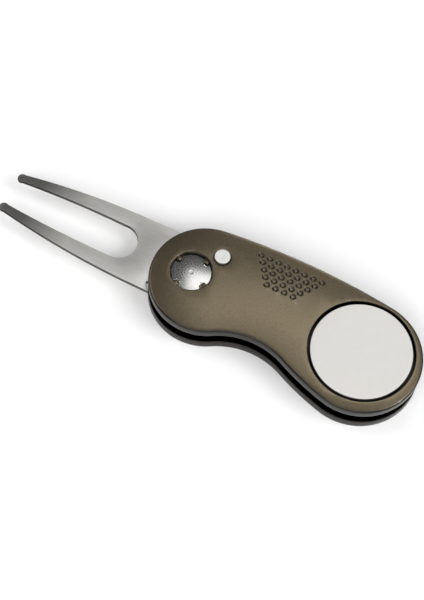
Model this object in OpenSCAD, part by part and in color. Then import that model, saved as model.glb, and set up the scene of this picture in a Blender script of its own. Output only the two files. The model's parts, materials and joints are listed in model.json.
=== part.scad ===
// Folding divot repair tool: a two-shell handle, a two-prong fork on a sprung pivot,
// a push button lock and a magnetic ball marker. Millimetres.
// X runs along the handle from the fork pivot to the marker, Y across it, Z up to the marker face.
// The fork is drawn open, pointing along -X. The back of the handle is the plane z = 0.

/* [Handle outline] */
// Radius of the rounded end round the pivot
heel_r = 14.2; // [13.8:0.1:14.6]
// Offset of that end's centre from the pivot
heel_x = 4.1; // [3.7:0.1:4.3]
// Radius of the rounded end round the marker
nose_r = 15; // [14.8:0.1:15.6]
// Distance of that end's centre from the pivot
nose_x = 46; // [45.8:0.1:47]
// Offset of that end's centre across the handle
nose_y = -0.8; // [-1:0.1:-0.6]
// Radius of the long, nearly straight back edge
spine_r = 182; // [170:1:220]
// Radius of the hollow finger waist
waist_r = 19.2; // [18:0.1:22]
// Distance of the waist's centre from the pivot
waist_x = 21.7; // [21:0.1:22]
// Radius of the flank between the waist and the marker end
flank_r = 70; // [60:1:80]

/* [Handle thickness] */
// Thickness of the back shell
back_t = 2.8; // [2.6:0.1:3]
// Width of the slot that the fork folds into
slot_w = 3.5; // [3.4:0.1:3.8]
// Thickness of the front shell
front_t = 3.1; // [3:0.1:3.4]
// Chamfer round the face of the front shell
face_edge = 0.6; // [0.3:0.1:0.8]
// Chamfer round the back of the back shell
back_edge = 0.3; // [0.3:0.1:0.9]

/* [Fork] */
// Reach of the prong tips from the pivot
fork_reach = 52; // [50:0.1:52.2]
// Half of the fork's widest width
fork_half_w = 9.15; // [8.8:0.05:9.15]
// Offset of the fork's centre line from the pivot
fork_y = 1.1; // [1:0.05:1.2]
// Half of the gap between the prongs
prong_gap = 4.8; // [4.4:0.1:5]
// Thickness of the fork
fork_t = 1.2; // [1:0.1:1.3]
// Thickness of the ground prong tips
tip_t = 0.75; // [0.6:0.05:0.9]
// Angle the fork turns from open to closed
fold_angle = 183; // [182:0.5:183]

/* [Pivot] */
// Diameter of the pivot post
post_d = 5; // [4.8:0.1:5.2]
// Diameter of the bushing pressed into the fork
bushing_d = 7; // [6.8:0.1:7.2]
// Diameter of the bright pivot cap
cap_d = 10.1; // [9.8:0.1:10.4]
// Diameter of the coil of the fork spring, wire centre to wire centre
coil_d = 8.8; // [8.6:0.1:9]

/* [Button] */
// Diameter of the push button
button_d = 4.1; // [3.9:0.1:4.2]
// Place of the button along the handle
button_x = 5.1; // [5:0.05:5.2]
// Place of the button across the handle
button_y = 6.75; // [6.7:0.05:6.9]
// Height of the button above the face
button_proud = 0.8; // [0.6:0.1:1]
// Travel of the button
button_travel = 1.2; // [1:0.1:1.2]

/* [Marker] */
// Diameter of the ball marker
marker_d = 25; // [24.6:0.1:25]
// Thickness of the ball marker
marker_t = 1.8; // [1.6:0.1:1.85]
// Distance of the marker's centre from the pivot
marker_x = 45.7; // [45.5:0.1:46]
// Depth of the marker below the face
marker_sink = 0.35; // [0.3:0.05:0.5]
// Gap round the marker in its pocket
marker_gap = 0.6; // [0.3:0.05:0.6]

/* [Grip dimples] */
// Dimples in the longest row
dimples = 8; // [5:1:8]
// Rows of dimples
dimple_rows = 5; // [2:1:5]
// Spacing along a row
dimple_pitch = 2.35; // [2.2:0.05:2.4]
// Spacing between rows
row_pitch = 1.73; // [1.6:0.01:1.8]
// Diameter of one dimple
dimple_d = 1.4; // [1:0.1:1.5]

/* [Hidden] */
$fn = 96;
eps = 0.01;             // overlap that joins or clears two shapes
slip = 0.05;            // radial clearance of a turning fit
far = 90;               // a length well outside the handle

// Heights
slot_z = back_t;                              // floor of the slot
front_z = slot_z + slot_w;                    // underside of the front shell
face_z = front_z + front_t;                   // face of the handle
fork_z = slot_z + (slot_w - fork_t) / 2;      // underside of the fork
marker_z = face_z - marker_sink - marker_t;   // underside of the marker
pocket_z = marker_z - 0.02;                   // floor of the marker pocket
well_z = 0.9;                                 // floor of the button's well in the back shell
guide_z = well_z + button_travel + 0.3;       // lower end of the button
seat_z = guide_z + 0.9;                       // shoulder that the button's spring pushes on

// Centres of the outline arcs, and points outside the handle on the lines where two arcs meet
heel_c = [heel_x, 0];
nose_c = [nose_x, nose_y];
waist_c = [waist_x, -sqrt(pow(heel_r + waist_r, 2) - pow(waist_x - heel_x, 2))];
spine_c = circles_meet(heel_c, spine_r - heel_r, nose_c, spine_r - nose_r, -1);
flank_c = circles_meet(waist_c, flank_r + waist_r, nose_c, flank_r - nose_r, 1);
heel_out = heel_c + 20 * unit(heel_c - spine_c);     // past the back edge, on the line of the meeting point
nose_out = nose_c + 20 * unit(nose_c - spine_c);
flank_out = nose_c + 30 * unit(nose_c - flank_c);
split_out = waist_c + 56 * unit(flank_c - waist_c);

// Fork and its hardware
edge_arc_r = 225;       // outer edge of each prong
gap_arc_r = 270;        // inner edge of each prong
widest_x = -12;         // where the fork is widest
gap_end_x = -20.7;      // centre of the round end of the gap
tip_r = 1.2;            // rounding of each prong tip
tip_offset = 4.7;       // prong tip to the fork's centre line
grind_x = -30;          // where the ground upper face of the prongs starts
heel_turn_r = 5.8;      // fork heel that passes the button
button_c = [button_x, button_y];
button_reach = norm(button_c);
button_angle = atan2(button_y, button_x);
flange_d = 4.8;         // collar that keeps the button in
track_gap = 0.25;       // clearance round the collar in the fork's track
track_r = button_reach + flange_d / 2 + track_gap;
track_half = asin((flange_d / 2 + track_gap) / button_reach);
track_start = button_angle - fold_angle - track_half;
track_end = button_angle + track_half;
lug_r = 12.4;           // shoulder that meets the stop pin
lug_angle = 100;
stop_d = 2.2;
stop_reach = 11.6;
stop_angle = track_end - asin((stop_d / 2 + 0.02) / stop_reach);
stop_c = stop_reach * [cos(stop_angle), sin(stop_angle)];
leg_angle = 200;        // where the spring's upper leg enters the fork
wire_r = 0.3;           // fork spring wire
coil_r = coil_d / 2;
coil_z = 1.75;          // lower end of the fork spring's coil
coil_turns = 2.5;
coil_pitch = 0.7;

// Fasteners
screw_places = [[10.6, 11.8], [33, 12], [56.6, -0.7]];
screw_r = 1;
head_r = 1.9;
pin_places = [[16.5, 12], [38.5, 12.1]];
pin_r = 0.8;
spacer_y = 9;           // inner edge of the spacer, where the closed fork stops
boss_r = 2.4;
magnet_r = 4;
magnet_t = 1.2;
magnet_z = pocket_z - magnet_t - 0.03;
magnet_boss_r = 5.5;

// Pivot cap
cap_z = face_z - 1.3;
cap_t = 0.7;
cap_dome = 0.3;
notches = 4;
notch_angle = 64;
notch_reach = 4.85;
notch_r = 0.85;
lug_post_r = 0.7;

function unit(v) = v / norm(v);
function ring_point(r, a) = r * [cos(a), sin(a)];

// The point at distance r1 from p and r2 from q, on the chosen side of the line from p to q
function circles_meet(p, r1, q, r2, side) =
    let (
        span = norm(q - p),
        along = (r1 * r1 - r2 * r2 + span * span) / (2 * span),
        across = sqrt(r1 * r1 - along * along),
        ray = (q - p) / span
    )
    p + ray * along + side * across * [-ray[1], ray[0]];

// A disc with chamfered lower and upper rims
module disc(c, r, z0, z1, low = 0, top = 0) {
    translate([c[0], c[1], 0])
        rotate_extrude($fn = r > 40 ? 360 : 96)
            polygon([
                [0, z0], [r - low, z0], [r, z0 + low],
                [r, z1 - top], [r - top, z1], [0, z1]
            ]);
}

// The same disc as a cutter, wider where the rims are chamfered
module disc_cut(c, r, z0, z1, low = 0, top = 0) {
    translate([c[0], c[1], 0])
        rotate_extrude()
            polygon([
                [0, z0 - 1], [r + low + 1, z0 - 1], [r, z0 + low],
                [r, z1 - top], [r + top + 1, z1 + 1], [0, z1 + 1]
            ]);
}

module prism(points) {
    translate([0, 0, -1]) linear_extrude(face_z + 2) polygon(points);
}

// A plate with the handle's outline, set in by inset, built from sectors that share flat faces
module plate(z0, z1, inset = 0, low = 0, top = 0) {
    intersection() {
        disc(heel_c, heel_r - inset, z0, z1, low, top);
        prism([heel_c, heel_out, [-far, 0], waist_c]);
    }
    intersection() {
        disc(nose_c, nose_r - inset, z0, z1, low, top);
        prism([nose_c, nose_out, [2 * far, 0], flank_out]);
    }
    difference() {
        intersection() {
            disc(spine_c, spine_r - inset, z0, z1, low, top);
            prism([heel_c, heel_out, split_out, waist_c]);
        }
        disc_cut(waist_c, waist_r + inset, z0, z1, low, top);
    }
    intersection() {
        disc(spine_c, spine_r - inset, z0, z1, low, top);
        disc(flank_c, flank_r - inset, z0, z1, low, top);
        prism([waist_c, split_out, nose_out, nose_c, flank_out]);
    }
}

module hole(c, r, z0, z1) {
    translate([c[0], c[1], z0]) cylinder(r = r, h = z1 - z0);
}

module sector(r, from, to) {
    polygon([[0, 0], for (i = [0:12]) ring_point(2 * r, from + (to - from) * i / 12)]);
}

// A round wire along a helix
module coil(r, wire, z, pitch, turns, start = 0, sides = 8, steps = 24) {
    count = ceil(turns * steps);
    rings = [
        for (i = [0:count])
            let (a = start + i * turns * 360 / count)
            for (k = [0:sides - 1])
                let (b = k * 360 / sides, reach = r + wire * cos(b))
                [reach * cos(a), reach * sin(a), z + pitch * turns * i / count + wire * sin(b)]
    ];
    walls = [
        for (i = [0:count - 1], k = [0:sides - 1])
            let (n = (k + 1) % sides)
            [i * sides + k, i * sides + n, (i + 1) * sides + n, (i + 1) * sides + k]
    ];
    first = [for (k = [sides - 1:-1:0]) k];
    last = [for (k = [0:sides - 1]) count * sides + k];
    polyhedron(rings, concat(walls, [first], [last]), convexity = 10);
}

module front_shell() {
    color([0.42, 0.38, 0.31])
    difference() {
        union() {
            plate(front_z, face_z, low = 0.2, top = face_edge);
            hole([marker_x, 0], magnet_boss_r, magnet_z - 0.4, front_z + 0.5);
            hole(screw_places[2], boss_r, slot_z + 0.02, front_z + 0.5);
        }
        marker_pocket();
        pivot_pocket();
        button_bore();
        dimple_field();
        for (p = [screw_places[0], screw_places[1]]) hole(p, screw_r + 0.02, front_z - 1, front_z + 2);
        hole(screw_places[2], screw_r + 0.02, slot_z - 1, front_z + 0.4);
        for (p = pin_places) hole(p, pin_r + 0.01, front_z - 1, front_z + 1.7);
        hole(stop_c, stop_d / 2 + 0.01, front_z - 1, front_z + 1.8);
    }
    cap_lugs();
}

module marker_pocket() {
    r = marker_d / 2 + marker_gap;
    lip = 0.25;
    hole([marker_x, 0], r, pocket_z, face_z + 1);
    translate([marker_x, 0, face_z - lip]) cylinder(r1 = r, r2 = r + lip + 1, h = lip + 1);
    hole([marker_x, 0], magnet_r + 0.02, magnet_z, pocket_z + 1);
}

module pivot_pocket() {
    r = cap_d / 2 + 0.08;
    lip = 0.25;
    hole([0, 0], post_d / 2 + 0.01, front_z - 1, cap_z + 1);
    hole([0, 0], r, cap_z, face_z + 1);
    translate([0, 0, face_z - lip]) cylinder(r1 = r, r2 = r + lip + 1, h = lip + 1);
}

// Lugs of the shell that fill the notches of the pivot cap
module cap_lugs() {
    color([0.42, 0.38, 0.31])
    intersection() {
        hole([0, 0], cap_d / 2 + 0.5, cap_z - 0.2, cap_z + cap_t);
        for (i = [0:notches - 1])
            hole(ring_point(notch_reach, notch_angle + 360 * i / notches), lug_post_r, cap_z - 0.2, face_z);
    }
}

module button_bore() {
    r = button_d / 2 + 0.07;
    lip = 0.2;
    hole(button_c, r, front_z - 1, face_z + 1);
    translate([button_x, button_y, face_z - lip]) cylinder(r1 = r, r2 = r + lip + 1, h = lip + 1);
}

// Rows of drilled dimples, each row one shorter than the last
module dimple_field() {
    first = [13.25, 12.05];
    depth = 0.35;
    for (row = [0:dimple_rows - 1], i = [0:dimples - 1 - row])
        translate([first[0] + (i + row / 2) * dimple_pitch, first[1] - row * row_pitch, face_z - depth])
            cylinder(r1 = dimple_d / 4, r2 = dimple_d / 2 + 0.1, h = depth + 0.1, $fn = 20);
}

module back_shell() {
    color([0.36, 0.33, 0.28])
    difference() {
        plate(0, back_t, low = back_edge, top = 0.2);
        hole([0, 0], post_d / 2 + 0.01, 1, back_t + 1);
        difference() {
            hole([0, 0], coil_r + 0.6, 1.3, back_t + 1);
            hole([0, 0], coil_r - 0.6, 1, back_t + 1);
        }
        rotate(leg_angle + coil_turns * 360)
            translate([coil_r - 0.1, -0.4, 1.35])
                cube([2.6, 0.8, 2]);
        hole(button_c, 2, well_z, back_t + 1);
        for (p = screw_places) {
            hole(p, screw_r + 0.02, -1, back_t + 1);
            translate([p[0], p[1], -1]) cylinder(r = head_r + 0.05, h = 1.3);
            translate([p[0], p[1], 0.3 - eps]) cylinder(r1 = head_r + 0.05, r2 = screw_r + 0.02, h = 0.9);
        }
        for (p = pin_places) hole(p, pin_r + 0.01, 1.2, back_t + 1);
        hole(stop_c, stop_d / 2 + 0.01, 1.2, back_t + 1);
    }
}

module spine_spacer() {
    color([0.08, 0.08, 0.08])
    difference() {
        intersection() {
            plate(slot_z, front_z, inset = 0.5);
            translate([8, spacer_y, 0]) cube([42, 10, face_z]);
        }
        for (p = screw_places) hole(p, screw_r + 0.02, 0, face_z);
        for (p = pin_places) hole(p, pin_r + 0.01, 0, face_z);
    }
}

// Two long arcs, mirrored about the fork's centre line, that bound a shape on both sides
module lens(r, half_w, x) {
    intersection() {
        translate([x, fork_y + half_w - r]) circle(r = r, $fn = 1440);
        translate([x, fork_y - half_w + r]) circle(r = r, $fn = 1440);
    }
}

module prong_gap_shape() {
    translate([gap_end_x, fork_y]) circle(r = prong_gap);
    intersection() {
        lens(gap_arc_r, prong_gap, gap_end_x - 5);
        translate([-far, fork_y - 20]) square([far + gap_end_x, 40]);
    }
}

// The fork's heel is cut back on a track so that it turns past the button
module heel_track() {
    difference() {
        intersection() {
            circle(r = track_r);
            sector(track_r, track_start, track_end);
        }
        circle(r = heel_turn_r);
    }
}

module fork_shape() {
    difference() {
        union() {
            intersection() {
                lens(edge_arc_r, fork_half_w, widest_x);
                translate([tip_r - fork_reach, -20]) square([fork_reach - tip_r, 40]);
            }
            intersection() {
                circle(r = lug_r);
                sector(lug_r, track_end, lug_angle);
            }
            circle(r = heel_turn_r);
        }
        heel_track();
        prong_gap_shape();
        circle(d = bushing_d);
        rotate(leg_angle) translate([coil_r, 0]) circle(r = wire_r + 0.12, $fn = 24);
    }
    for (side = [-1, 1])
        translate([tip_r - fork_reach, fork_y + side * tip_offset]) circle(r = tip_r);
}

module fork() {
    run = fork_reach + grind_x;
    grind_r = (run * run) / (2 * (fork_t - tip_t));
    color([0.78, 0.77, 0.74])
    translate([0, 0, fork_z]) {
        intersection() {
            linear_extrude(fork_t) fork_shape();
            translate([grind_x, -20, -1]) cube([far, 40, fork_t + 2]);
        }
        intersection() {
            linear_extrude(fork_t) fork_shape();
            translate([grind_x - far, -20, -1]) cube([far, 40, fork_t + 2]);
            translate([grind_x, 20, fork_t - grind_r])
                rotate([90, 0, 0]) cylinder(r = grind_r, h = 40, $fn = 1440);
        }
    }
}

module tube(outer, inner, z0, z1) {
    difference() {
        hole([0, 0], outer, z0, z1);
        hole([0, 0], inner, z0 - 1, z1 + 1);
    }
}

module fork_bushing() {
    color([0.70, 0.52, 0.26])
    tube(bushing_d / 2, post_d / 2 + slip, fork_z - 0.1, fork_z + fork_t + 0.1);
}

module front_washer() {
    color([0.85, 0.84, 0.80])
    tube(4.6, post_d / 2 + slip, fork_z + fork_t + 0.13, front_z - 0.01);
}

module back_washer() {
    color([0.85, 0.84, 0.80])
    tube(3.5, post_d / 2 + slip, slot_z + 0.01, fork_z - 0.13);
}

// Coil with one leg up into the fork and one out into the back shell
module torsion_spring() {
    top_z = coil_z + coil_pitch * coil_turns;
    color([0.62, 0.63, 0.65])
    rotate(leg_angle) {
        coil(coil_r, wire_r, coil_z, coil_pitch, coil_turns, start = -coil_turns * 360);
        hole([coil_r, 0], wire_r, top_z - 0.1, fork_z + fork_t - 0.1);
        rotate(-coil_turns * 360)
            translate([coil_r - 0.1, 0, coil_z])
                rotate([0, 90, 0]) cylinder(r = wire_r, h = 2.2);
    }
}

// Headless post, pressed into both shells and bored for the cap's stem
module pivot_post() {
    color([0.60, 0.61, 0.62])
    difference() {
        hole([0, 0], post_d / 2, 1.02, cap_z - 0.05);
        hole([0, 0], 1.5, 4, cap_z + 1);
    }
}

// Low domed cap with a chamfered rim and notches, and a stem pressed into the post
module pivot_cap() {
    edge = 0.15;
    rim_r = cap_d / 2 - edge;
    dome_r = (rim_r * rim_r + cap_dome * cap_dome) / (2 * cap_dome);
    turn = asin(rim_r / dome_r);
    color([0.86, 0.86, 0.85])
    difference() {
        union() {
            rotate_extrude()
                polygon([
                    [0, cap_z], [cap_d / 2, cap_z], [cap_d / 2, cap_z + cap_t - cap_dome - edge],
                    for (i = [0:8])
                        let (a = turn * (1 - i / 8))
                        [dome_r * sin(a), cap_z + cap_t - dome_r * (1 - cos(a))]
                ]);
            hole([0, 0], 1.5, cap_z - 3, cap_z + 0.3);
        }
        for (i = [0:notches - 1])
            hole(ring_point(notch_reach, notch_angle + 360 * i / notches), notch_r, cap_z - 1, face_z + 1);
    }
}

// Cap, collar under the front shell, barrel past the fork's heel, and spring guide
module push_button() {
    rim = 0.2;
    top = face_z + button_proud;
    collar_z = front_z - 0.05;
    color([0.83, 0.82, 0.80])
    translate([button_x, button_y, 0])
        rotate_extrude()
            polygon([
                [0, guide_z], [0.9, guide_z], [0.9, seat_z], [1.9, seat_z], [1.9, collar_z - 0.8],
                [flange_d / 2, collar_z - 0.8], [flange_d / 2, collar_z], [button_d / 2, collar_z],
                [button_d / 2, top - rim], [button_d / 2 - rim, top], [0, top]
            ]);
}

module button_spring() {
    wire = 0.17;
    z = well_z + 0.02 + wire;
    length = seat_z - 0.02 - wire - z;
    color([0.70, 0.71, 0.73])
    translate([button_x, button_y, 0])
        coil(1.35, wire, z, length / 3, 3, sides = 6);
}

module marker_magnet() {
    color([0.45, 0.46, 0.48])
    hole([marker_x, 0], magnet_r, magnet_z + 0.01, magnet_z + magnet_t);
}

module ball_marker() {
    color([0.87, 0.86, 0.84])
    disc([marker_x, 0], marker_d / 2, marker_z, marker_z + marker_t, 0.2, 0.15);
}

module casing_screw(i) {
    end_z = i == 2 ? front_z + 0.3 : front_z + 1.8;
    color([0.20, 0.20, 0.21])
    translate([screw_places[i][0], screw_places[i][1], 0])
        difference() {
            union() {
                translate([0, 0, 0.1]) cylinder(r = head_r, h = 0.2);
                translate([0, 0, 0.3]) cylinder(r1 = head_r, r2 = screw_r, h = 0.9);
                translate([0, 0, 1.1]) cylinder(r = screw_r, h = end_z - 1.1);
            }
            cylinder(r = 0.75, h = 0.8, $fn = 6);
        }
}

module locating_pin(i) {
    color([0.66, 0.66, 0.68]) hole(pin_places[i], pin_r, 1.22, front_z + 1.65);
}

module stop_pin() {
    color([0.66, 0.66, 0.68]) hole(stop_c, stop_d / 2, 1.22, front_z + 1.75);
}

front_shell();
back_shell();
spine_spacer();
fork();
fork_bushing();
front_washer();
back_washer();
torsion_spring();
pivot_post();
pivot_cap();
push_button();
button_spring();
marker_magnet();
ball_marker();
casing_screw(0);  // casing_screw_1
casing_screw(1);  // casing_screw_2
casing_screw(2);  // casing_screw_3
locating_pin(0);  // locating_pin_1
locating_pin(1);  // locating_pin_2
stop_pin();
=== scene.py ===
"""Folding divot repair tool: two shells, a sprung fork, a push button and a ball marker.

Shapes are made in millimetres in the CAD frame: X from the pivot to the marker, Z up to the face.
Places and heights come from the boxes of the CAD nodes, and each mesh is scaled to metres once.
"""

import json
import math

import bmesh
import bpy
import numpy as np
from mathutils import Matrix, Quaternion, Vector
from mathutils.geometry import delaunay_2d_cdt


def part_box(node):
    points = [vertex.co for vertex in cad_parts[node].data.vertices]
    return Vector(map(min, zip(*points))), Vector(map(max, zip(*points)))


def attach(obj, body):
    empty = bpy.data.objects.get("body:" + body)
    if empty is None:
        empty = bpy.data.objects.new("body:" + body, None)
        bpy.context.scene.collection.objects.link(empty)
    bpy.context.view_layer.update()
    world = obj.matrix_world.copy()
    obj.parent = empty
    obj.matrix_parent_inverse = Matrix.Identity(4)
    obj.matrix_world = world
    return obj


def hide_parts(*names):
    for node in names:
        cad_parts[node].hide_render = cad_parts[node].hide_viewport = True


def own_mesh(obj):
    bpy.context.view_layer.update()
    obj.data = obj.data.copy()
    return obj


MM = 0.001

# Handle outline, as in the CAD source
HEEL_X = 4.1
HEEL_R = 14.2
NOSE = np.array([46.0, -0.8])
NOSE_R = 15.0
SPINE_R = 182.0
WAIST_X = 21.7
WAIST_R = 19.2
FLANK_R = 70.0
ARC_STEPS = {"spine": 48, "heel": 96, "waist": 40, "flank": 14, "nose": 96}

# Front shell
CROWN_RISE = 0.25
CROWN_DROP = 0.7
CROWN_WIDTH = 11.0
CROWN_INSETS = (0.9, 1.4, 2.1, 3.0, 4.0, 5.2, 6.5)
CROWN_GRID = 1.7
FACE_ROUND = 0.5
LOWER_ROUND = 0.2
MARKER_POCKET_R = 13.1
MARKER_LIP = 0.25
MAGNET_POCKET_R = 4.02
MAGNET_BOSS_R = 5.5
PIVOT_POCKET_R = 5.13
PIVOT_LIP = 0.35
CAP_T = 0.7
BUTTON_BORE_R = 2.12
BUTTON_LIP = 0.2
END_BOSS_R = 2.4
BOSS_EDGE = 0.15
SCREW_BORE_DEPTH = 2.0
PIN_BORE_DEPTH = 1.7
STOP_BORE_DEPTH = 1.8
LUG_R = 0.7
LUG_ROUND = 0.2
NOTCH_R = 1.0
NOTCH_REACH = 4.85
NOTCH_TURNS = [math.radians(64 + 90 * i) for i in range(4)]

# Grip dimples
DIMPLE_FIRST = (13.25, 12.05)
DIMPLE_ROW = 8
DIMPLE_ROWS = 5
DIMPLE_PITCH = 2.35
DIMPLE_ROW_PITCH = 1.73
DIMPLE_DEPTH = 0.34
DIMPLE_FLOOR_R = 0.3
DIMPLE_RIM_R = 0.92
DIMPLE_RINGS = (0.15, 0.3, 0.38, 0.46, 0.54, 0.62, 0.7, 0.78, 0.85, 0.92, 0.99)

# Gaps round the hardware in both shells
LOOSE_GAP = 0.02
TIGHT_GAP = 0.01

# Back shell
BACK_ROUND = 0.3
SINK_GAP = 0.05
SINK_LIP = 0.12
COIL_GROOVE = (3.8, 5.0)
COIL_GROOVE_Z = 1.3
BUTTON_WELL_R = 2.0
BUTTON_WELL_Z = 0.9
SOCKET_Z = 1.2
POST_FLOOR_Z = 1.0

# Ball marker
MARKER_TOP_ROUND = 0.18
MARKER_LOW_ROUND = 0.2

# Fork, with its eased edges as pairs (set back, drop)
FORK_EASE = ((0.14, 0.0), (0.09, 0.015), (0.04, 0.05), (0.0, 0.14))
GRIND_X = -30.0
GRIND_DROP = 0.45

# Pivot cap
CAP_R = 5.05
CAP_DOME = 0.3
CAP_RIM = 0.16
RIDGE_HEIGHT = 0.002
RIDGE_PITCH = 0.72
RIDGE_SPAN = (0.9, 3.4)
DENT_R = 0.6
DENT_DEPTH = 0.02
STEM_R = 1.5

# Push button
BUTTON_R = 2.05
BUTTON_RIM = 0.22
BUTTON_DENT = ((0.14, 0.0), (0.08, 0.02), (0.0, 0.025))
FLANGE_R = 2.4
FLANGE_T = 0.8
FLANGE_GAP = 0.05
GUIDE_R = 0.9
GUIDE_HEIGHT = 0.9
COLLAR_R = 1.9

# Fasteners
POST_R = 2.5
PIN_R = 0.8
STOP_R = 1.1
COIL_R = 4.4
COIL_WIRE = 0.3
COIL_TURNS = 2.5
COIL_TOP = 3.5
LEG_TURN = math.radians(200)
LOWER_LEG_REACH = 6.5
BUTTON_COIL_R = 1.35
BUTTON_WIRE = 0.17
SCREW_R = 1.0
SCREW_HEAD_R = 1.9
SCREW_RIM = 0.12
SCREW_SEAT_Z = 0.3
SCREW_NECK_Z = 1.2
HEX_R = 0.75
HEX_FLOOR_Z = 0.8

# Camera, in metres
CAMERA_PLACE = (0.063447, -0.153623, 0.335826)
CAMERA_FORWARD = (-0.15292, 0.41014, -0.89911)
CAMERA_UP = (-0.41929, 0.79694, 0.43484)
CAMERA_LENS = 90


def mm_box(node):
    """Lowest and highest corner of a CAD node, in millimetres."""
    low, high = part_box(node)
    return np.array(low) / MM, np.array(high) / MM


def centre_of(node):
    """Centre of a CAD node across the plan, in millimetres."""
    low, high = mm_box(node)
    return (low[:2] + high[:2]) / 2


# ---------------------------------------------------------------- outline


def unit(vector):
    return vector / np.linalg.norm(vector)


def circles_meet(p, p_reach, q, q_reach, side):
    """The point at p_reach from p and q_reach from q, on the chosen side of the line p to q."""
    span = np.linalg.norm(q - p)
    along = (p_reach**2 - q_reach**2 + span**2) / (2 * span)
    across = math.sqrt(p_reach**2 - along**2)
    ray = (q - p) / span
    return p + ray * along + side * across * np.array([-ray[1], ray[0]])


def handle_arcs():
    """Arcs of the outline, anticlockwise: (centre, radius, first angle, last angle, steps, hollow)."""
    heel = np.array([HEEL_X, 0.0])
    drop = math.sqrt((HEEL_R + WAIST_R) ** 2 - (WAIST_X - HEEL_X) ** 2)
    waist = np.array([WAIST_X, -drop])
    spine = circles_meet(heel, SPINE_R - HEEL_R, NOSE, SPINE_R - NOSE_R, -1)
    flank = circles_meet(waist, FLANK_R + WAIST_R, NOSE, FLANK_R - NOSE_R, 1)

    def turn(start, end):
        return math.atan2(end[1] - start[1], end[0] - start[0])

    full = 2 * math.pi
    spine_end = turn(spine, heel)
    heel_end = turn(heel, waist) + full
    flank_start = turn(flank, waist) + full
    flank_end = turn(flank, NOSE) + full
    return [
        (spine, SPINE_R, turn(spine, NOSE), spine_end, ARC_STEPS["spine"], False),
        (heel, HEEL_R, spine_end, heel_end, ARC_STEPS["heel"], False),
        (waist, WAIST_R, heel_end - math.pi, turn(waist, flank), ARC_STEPS["waist"], True),
        (flank, FLANK_R, flank_start, flank_end, ARC_STEPS["flank"], False),
        (NOSE, NOSE_R, flank_end, turn(spine, NOSE) + full, ARC_STEPS["nose"], False),
    ]


def outline(arcs, inset):
    """The handle's outline set in by inset, as an array of points."""
    points = []
    for centre, radius, first, last, steps, hollow in arcs:
        reach = radius + inset if hollow else radius - inset
        for i in range(steps):
            angle = first + (last - first) * i / steps
            points.append(centre + reach * np.array([math.cos(angle), math.sin(angle)]))
    return np.array(points)


def circle(centre, radius, steps):
    angles = np.arange(steps) * 2 * math.pi / steps
    return np.array(centre) + radius * np.stack([np.cos(angles), np.sin(angles)], axis=1)


def inside(points, loop):
    """Even-odd test of many points against one closed loop."""
    x, y = points[:, :1], points[:, 1:2]
    ax, ay = loop[:, 0], loop[:, 1]
    bx, by = np.roll(ax, -1), np.roll(ay, -1)
    crosses = (ay > y) != (by > y)
    with np.errstate(divide="ignore", invalid="ignore"):
        at = ax + (y - ay) * (bx - ax) / (by - ay)
    return (np.sum(crosses & (x < at), axis=1) % 2).astype(bool)


def distance(points, loop):
    """Distance of many points from one closed loop."""
    a, b = loop, np.roll(loop, -1, axis=0)
    ray = b - a
    offset = points[:, None, :] - a[None]
    share = np.clip(np.sum(offset * ray, axis=2) / np.sum(ray * ray, axis=1), 0, 1)
    gap = offset - share[..., None] * ray[None]
    return np.sqrt(np.min(np.sum(gap * gap, axis=2), axis=1))


# ---------------------------------------------------------------- mesh building


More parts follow.
